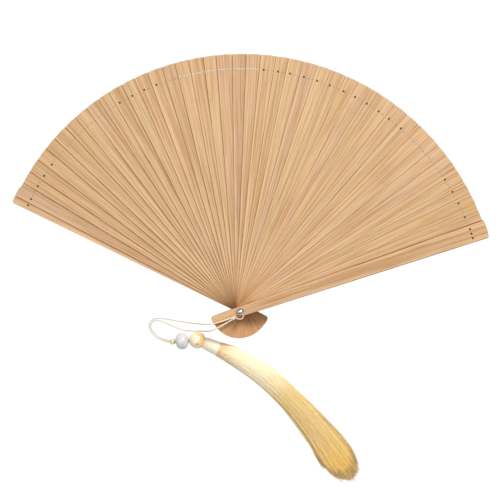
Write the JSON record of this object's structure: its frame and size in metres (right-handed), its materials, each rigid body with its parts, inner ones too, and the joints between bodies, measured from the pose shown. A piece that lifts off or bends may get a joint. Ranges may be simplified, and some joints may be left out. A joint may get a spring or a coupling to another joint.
{
  "type": "sandalwood_folding_fan",
  "caption": "Brise folding fan of thin overlapping sandalwood blades between two guards, with a chrome rivet and a gold silk tassel on a cream cord with a pale bead",
  "frame": {"origin": "on the rivet's axis, at the outer face of the rear guard, where the rear end of the rivet lies flush", "axes": "+Z along the rivet from the rear guard to the front guard; +Y along the middle of the open fan; +X to the right, towards the front guard's tip"},
  "size_m": [0.352, 0.3155, 0.0258],
  "materials": {
    "sandalwood_guard": "sanded and lightly polished sandalwood, fine straight grain",
    "sandalwood_blade": "thin unvarnished sandalwood slip, straight grain, tone differs from blade to blade",
    "rivet_chrome": "polished chrome plate",
    "nylon_thread": "pale glossy thread",
    "cream_cord": "cream twisted silk cord, 1 mm",
    "jade_bead": "pale translucent grey-white stone, polished",
    "gold_silk": "tightly wound glossy gold silk",
    "tassel_silk": "fine straight silk strands, pale gold with satin sheen"
  },
  "bodies": {
    "rear_guard": {"guard_rear": "sandalwood_guard", "rivet_post": "rivet_chrome", "rivet_cap": "rivet_chrome", "stringing_thread": "nylon_thread"},
    "front_guard": {"guard_front": "sandalwood_guard"},
    "blade_01": {"blade_01": "sandalwood_blade"},
    "blade_02": {"blade_02": "sandalwood_blade"},
    "blade_03": {"blade_03": "sandalwood_blade"},
    "blade_04": {"blade_04": "sandalwood_blade"},
    "blade_05": {"blade_05": "sandalwood_blade"},
    "blade_06": {"blade_06": "sandalwood_blade"},
    "blade_07": {"blade_07": "sandalwood_blade"},
    "blade_08": {"blade_08": "sandalwood_blade"},
    "blade_09": {"blade_09": "sandalwood_blade"},
    "blade_10": {"blade_10": "sandalwood_blade"},
    "blade_11": {"blade_11": "sandalwood_blade"},
    "blade_12": {"blade_12": "sandalwood_blade"},
    "blade_13": {"blade_13": "sandalwood_blade"},
    "blade_14": {"blade_14": "sandalwood_blade"},
    "blade_15": {"blade_15": "sandalwood_blade"},
    "blade_16": {"blade_16": "sandalwood_blade"},
    "blade_17": {"blade_17": "sandalwood_blade"},
    "blade_18": {"blade_18": "sandalwood_blade"},
    "blade_19": {"blade_19": "sandalwood_blade"},
    "blade_20": {"blade_20": "sandalwood_blade"},
    "blade_21": {"blade_21": "sandalwood_blade"},
    "blade_22": {"blade_22": "sandalwood_blade"},
    "blade_23": {"blade_23": "sandalwood_blade"},
    "blade_24": {"blade_24": "sandalwood_blade"},
    "blade_25": {"blade_25": "sandalwood_blade"},
    "blade_26": {"blade_26": "sandalwood_blade"},
    "blade_27": {"blade_27": "sandalwood_blade"},
    "blade_28": {"blade_28": "sandalwood_blade"},
    "blade_29": {"blade_29": "sandalwood_blade"},
    "blade_30": {"blade_30": "sandalwood_blade"},
    "blade_31": {"blade_31": "sandalwood_blade"},
    "blade_32": {"blade_32": "sandalwood_blade"},
    "blade_33": {"blade_33": "sandalwood_blade"},
    "blade_34": {"blade_34": "sandalwood_blade"},
    "blade_35": {"blade_35": "sandalwood_blade"},
    "blade_36": {"blade_36": "sandalwood_blade"},
    "blade_37": {"blade_37": "sandalwood_blade"},
    "blade_38": {"blade_38": "sandalwood_blade"},
    "blade_39": {"blade_39": "sandalwood_blade"},
    "blade_40": {"blade_40": "sandalwood_blade"},
    "blade_41": {"blade_41": "sandalwood_blade"},
    "tassel": {"cord_loop": "cream_cord", "loop_knot": "cream_cord", "cord_strand_front": "cream_cord", "cord_strand_rear": "cream_cord", "top_knot": "cream_cord", "bead_cord": "cream_cord", "tassel_head": "gold_silk", "tassel_binding": "gold_silk", "tassel_skirt": "tassel_silk"},
    "bead": {"bead": "jade_bead"}
  },
  "joints": [
    {"name": "front_guard_fold", "type": "hinge", "parent": "rear_guard", "child": "front_guard", "pos_m": [0, 0, 0.0215], "axis": [0, 0, 1], "range_deg": [0, 134.2], "deforming": ["stringing_thread"]},
    {"name": "blade_01_fold", "type": "hinge", "parent": "rear_guard", "child": "blade_01", "pos_m": [0, 0, 0.00227], "axis": [0, 0, 1], "range_deg": [0, 1.7]},
    {"name": "blade_02_fold", "type": "hinge", "parent": "rear_guard", "child": "blade_02", "pos_m": [0, 0, 0.00272], "axis": [0, 0, 1], "range_deg": [0, 5.25]},
    {"name": "blade_03_fold", "type": "hinge", "parent": "rear_guard", "child": "blade_03", "pos_m": [0, 0, 0.00317], "axis": [0, 0, 1], "range_deg": [0, 8.22]},
    {"name": "blade_04_fold", "type": "hinge", "parent": "rear_guard", "child": "blade_04", "pos_m": [0, 0, 0.00362], "axis": [0, 0, 1], "range_deg": [0, 11.53]},
    {"name": "blade_05_fold", "type": "hinge", "parent": "rear_guard", "child": "blade_05", "pos_m": [0, 0, 0.00407], "axis": [0, 0, 1], "range_deg": [0, 14.73]},
    {"name": "blade_06_fold", "type": "hinge", "parent": "rear_guard", "child": "blade_06", "pos_m": [0, 0, 0.00452], "axis": [0, 0, 1], "range_deg": [0, 17.71]},
    {"name": "blade_07_fold", "type": "hinge", "parent": "rear_guard", "child": "blade_07", "pos_m": [0, 0, 0.00497], "axis": [0, 0, 1], "range_deg": [0, 21.27]},
    {"name": "blade_08_fold", "type": "hinge", "parent": "rear_guard", "child": "blade_08", "pos_m": [0, 0, 0.00542], "axis": [0, 0, 1], "range_deg": [0, 24.4]},
    {"name": "blade_09_fold", "type": "hinge", "parent": "rear_guard", "child": "blade_09", "pos_m": [0, 0, 0.00587], "axis": [0, 0, 1], "range_deg": [0, 27.67]},
    {"name": "blade_10_fold", "type": "hinge", "parent": "rear_guard", "child": "blade_10", "pos_m": [0, 0, 0.00632], "axis": [0, 0, 1], "range_deg": [0, 31.05]},
    {"name": "blade_11_fold", "type": "hinge", "parent": "rear_guard", "child": "blade_11", "pos_m": [0, 0, 0.00677], "axis": [0, 0, 1], "range_deg": [0, 33.92]},
    {"name": "blade_12_fold", "type": "hinge", "parent": "rear_guard", "child": "blade_12", "pos_m": [0, 0, 0.00722], "axis": [0, 0, 1], "range_deg": [0, 37.31]},
    {"name": "blade_13_fold", "type": "hinge", "parent": "rear_guard", "child": "blade_13", "pos_m": [0, 0, 0.00767], "axis": [0, 0, 1], "range_deg": [0, 40.52]},
    {"name": "blade_14_fold", "type": "hinge", "parent": "rear_guard", "child": "blade_14", "pos_m": [0, 0, 0.00812], "axis": [0, 0, 1], "range_deg": [0, 43.68]},
    {"name": "blade_15_fold", "type": "hinge", "parent": "rear_guard", "child": "blade_15", "pos_m": [0, 0, 0.00857], "axis": [0, 0, 1], "range_deg": [0, 47.24]},
    {"name": "blade_16_fold", "type": "hinge", "parent": "rear_guard", "child": "blade_16", "pos_m": [0, 0, 0.00902], "axis": [0, 0, 1], "range_deg": [0, 50.22]},
    {"name": "blade_17_fold", "type": "hinge", "parent": "rear_guard", "child": "blade_17", "pos_m": [0, 0, 0.00947], "axis": [0, 0, 1], "range_deg": [0, 53.46]},
    {"name": "blade_18_fold", "type": "hinge", "parent": "rear_guard", "child": "blade_18", "pos_m": [0, 0, 0.00992], "axis": [0, 0, 1], "range_deg": [0, 56.73]},
    {"name": "blade_19_fold", "type": "hinge", "parent": "rear_guard", "child": "blade_19", "pos_m": [0, 0, 0.01037], "axis": [0, 0, 1], "range_deg": [0, 59.69]},
    {"name": "blade_20_fold", "type": "hinge", "parent": "rear_guard", "child": "blade_20", "pos_m": [0, 0, 0.01082], "axis": [0, 0, 1], "range_deg": [0, 63.25]},
    {"name": "blade_21_fold", "type": "hinge", "parent": "rear_guard", "child": "blade_21", "pos_m": [0, 0, 0.01127], "axis": [0, 0, 1], "range_deg": [0, 66.43]},
    {"name": "blade_22_fold", "type": "hinge", "parent": "rear_guard", "child": "blade_22", "pos_m": [0, 0, 0.01172], "axis": [0, 0, 1], "range_deg": [0, 69.62]},
    {"name": "blade_23_fold", "type": "hinge", "parent": "rear_guard", "child": "blade_23", "pos_m": [0, 0, 0.01217], "axis": [0, 0, 1], "range_deg": [0, 73.02]},
    {"name": "blade_24_fold", "type": "hinge", "parent": "rear_guard", "child": "blade_24", "pos_m": [0, 0, 0.01262], "axis": [0, 0, 1], "range_deg": [0, 75.89]},
    {"name": "blade_25_fold", "type": "hinge", "parent": "rear_guard", "child": "blade_25", "pos_m": [0, 0, 0.01307], "axis": [0, 0, 1], "range_deg": [0, 79.26]},
    {"name": "blade_26_fold", "type": "hinge", "parent": "rear_guard", "child": "blade_26", "pos_m": [0, 0, 0.01352], "axis": [0, 0, 1], "range_deg": [0, 82.55]},
    {"name": "blade_27_fold", "type": "hinge", "parent": "rear_guard", "child": "blade_27", "pos_m": [0, 0, 0.01397], "axis": [0, 0, 1], "range_deg": [0, 85.66]},
    {"name": "blade_28_fold", "type": "hinge", "parent": "rear_guard", "child": "blade_28", "pos_m": [0, 0, 0.01442], "axis": [0, 0, 1], "range_deg": [0, 89.22]},
    {"name": "blade_29_fold", "type": "hinge", "parent": "rear_guard", "child": "blade_29", "pos_m": [0, 0, 0.01487], "axis": [0, 0, 1], "range_deg": [0, 92.21]},
    {"name": "blade_30_fold", "type": "hinge", "parent": "rear_guard", "child": "blade_30", "pos_m": [0, 0, 0.01532], "axis": [0, 0, 1], "range_deg": [0, 95.39]},
    {"name": "blade_31_fold", "type": "hinge", "parent": "rear_guard", "child": "blade_31", "pos_m": [0, 0, 0.01577], "axis": [0, 0, 1], "range_deg": [0, 98.72]},
    {"name": "blade_32_fold", "type": "hinge", "parent": "rear_guard", "child": "blade_32", "pos_m": [0, 0, 0.01622], "axis": [0, 0, 1], "range_deg": [0, 101.69]},
    {"name": "blade_33_fold", "type": "hinge", "parent": "rear_guard", "child": "blade_33", "pos_m": [0, 0, 0.01667], "axis": [0, 0, 1], "range_deg": [0, 105.23]},
    {"name": "blade_34_fold", "type": "hinge", "parent": "rear_guard", "child": "blade_34", "pos_m": [0, 0, 0.01712], "axis": [0, 0, 1], "range_deg": [0, 108.45]},
    {"name": "blade_35_fold", "type": "hinge", "parent": "rear_guard", "child": "blade_35", "pos_m": [0, 0, 0.01757], "axis": [0, 0, 1], "range_deg": [0, 111.57]},
    {"name": "blade_36_fold", "type": "hinge", "parent": "rear_guard", "child": "blade_36", "pos_m": [0, 0, 0.01802], "axis": [0, 0, 1], "range_deg": [0, 114.99]},
    {"name": "blade_37_fold", "type": "hinge", "parent": "rear_guard", "child": "blade_37", "pos_m": [0, 0, 0.01847], "axis": [0, 0, 1], "range_deg": [0, 117.88]},
    {"name": "blade_38_fold", "type": "hinge", "parent": "rear_guard", "child": "blade_38", "pos_m": [0, 0, 0.01892], "axis": [0, 0, 1], "range_deg": [0, 121.21]},
    {"name": "blade_39_fold", "type": "hinge", "parent": "rear_guard", "child": "blade_39", "pos_m": [0, 0, 0.01937], "axis": [0, 0, 1], "range_deg": [0, 124.57]},
    {"name": "blade_40_fold", "type": "hinge", "parent": "rear_guard", "child": "blade_40", "pos_m": [0, 0, 0.01982], "axis": [0, 0, 1], "range_deg": [0, 127.65]},
    {"name": "blade_41_fold", "type": "hinge", "parent": "rear_guard", "child": "blade_41", "pos_m": [0, 0, 0.02027], "axis": [0, 0, 1], "range_deg": [0, 131.19]},
    {"name": "tassel_swing", "type": "hinge", "parent": "rear_guard", "child": "tassel", "pos_m": [0, 0, 0.0232], "axis": [0, 0, 1], "range_deg": [-20, 60]},
    {"name": "bead_spin", "type": "hinge", "parent": "tassel", "child": "bead", "pos_m": [-0.04218, -0.02734, 0.0065], "axis": [0.9897, 0.143, 0], "continuous": true}
  ],
  "couplings": [
    {"joint": "blade_01_fold", "follows": "front_guard_fold", "ratio": 0.012647},
    {"joint": "blade_02_fold", "follows": "front_guard_fold", "ratio": 0.039142},
    {"joint": "blade_03_fold", "follows": "front_guard_fold", "ratio": 0.061275},
    {"joint": "blade_04_fold", "follows": "front_guard_fold", "ratio": 0.085936},
    {"joint": "blade_05_fold", "follows": "front_guard_fold", "ratio": 0.1098},
    {"joint": "blade_06_fold", "follows": "front_guard_fold", "ratio": 0.13199},
    {"joint": "blade_07_fold", "follows": "front_guard_fold", "ratio": 0.15852},
    {"joint": "blade_08_fold", "follows": "front_guard_fold", "ratio": 0.18184},
    {"joint": "blade_09_fold", "follows": "front_guard_fold", "ratio": 0.20616},
    {"joint": "blade_10_fold", "follows": "front_guard_fold", "ratio": 0.23137},
    {"joint": "blade_11_fold", "follows": "front_guard_fold", "ratio": 0.25272},
    {"joint": "blade_12_fold", "follows": "front_guard_fold", "ratio": 0.27801},
    {"joint": "blade_13_fold", "follows": "front_guard_fold", "ratio": 0.30194},
    {"joint": "blade_14_fold", "follows": "front_guard_fold", "ratio": 0.32545},
    {"joint": "blade_15_fold", "follows": "front_guard_fold", "ratio": 0.35203},
    {"joint": "blade_16_fold", "follows": "front_guard_fold", "ratio": 0.37419},
    {"joint": "blade_17_fold", "follows": "front_guard_fold", "ratio": 0.39837},
    {"joint": "blade_18_fold", "follows": "front_guard_fold", "ratio": 0.42271},
    {"joint": "blade_19_fold", "follows": "front_guard_fold", "ratio": 0.44481},
    {"joint": "blade_20_fold", "follows": "front_guard_fold", "ratio": 0.47135},
    {"joint": "blade_21_fold", "follows": "front_guard_fold", "ratio": 0.49501},
    {"joint": "blade_22_fold", "follows": "front_guard_fold", "ratio": 0.51876},
    {"joint": "blade_23_fold", "follows": "front_guard_fold", "ratio": 0.54414},
    {"joint": "blade_24_fold", "follows": "front_guard_fold", "ratio": 0.56551},
    {"joint": "blade_25_fold", "follows": "front_guard_fold", "ratio": 0.5906},
    {"joint": "blade_26_fold", "follows": "front_guard_fold", "ratio": 0.6151},
    {"joint": "blade_27_fold", "follows": "front_guard_fold", "ratio": 0.63829},
    {"joint": "blade_28_fold", "follows": "front_guard_fold", "ratio": 0.66483},
    {"joint": "blade_29_fold", "follows": "front_guard_fold", "ratio": 0.68712},
    {"joint": "blade_30_fold", "follows": "front_guard_fold", "ratio": 0.71081},
    {"joint": "blade_31_fold", "follows": "front_guard_fold", "ratio": 0.73562},
    {"joint": "blade_32_fold", "follows": "front_guard_fold", "ratio": 0.75772},
    {"joint": "blade_33_fold", "follows": "front_guard_fold", "ratio": 0.78414},
    {"joint": "blade_34_fold", "follows": "front_guard_fold", "ratio": 0.80815},
    {"joint": "blade_35_fold", "follows": "front_guard_fold", "ratio": 0.83135},
    {"joint": "blade_36_fold", "follows": "front_guard_fold", "ratio": 0.85685},
    {"joint": "blade_37_fold", "follows": "front_guard_fold", "ratio": 0.87837},
    {"joint": "blade_38_fold", "follows": "front_guard_fold", "ratio": 0.9032},
    {"joint": "blade_39_fold", "follows": "front_guard_fold", "ratio": 0.92825},
    {"joint": "blade_40_fold", "follows": "front_guard_fold", "ratio": 0.95117},
    {"joint": "blade_41_fold", "follows": "front_guard_fold", "ratio": 0.97755}
  ]
}
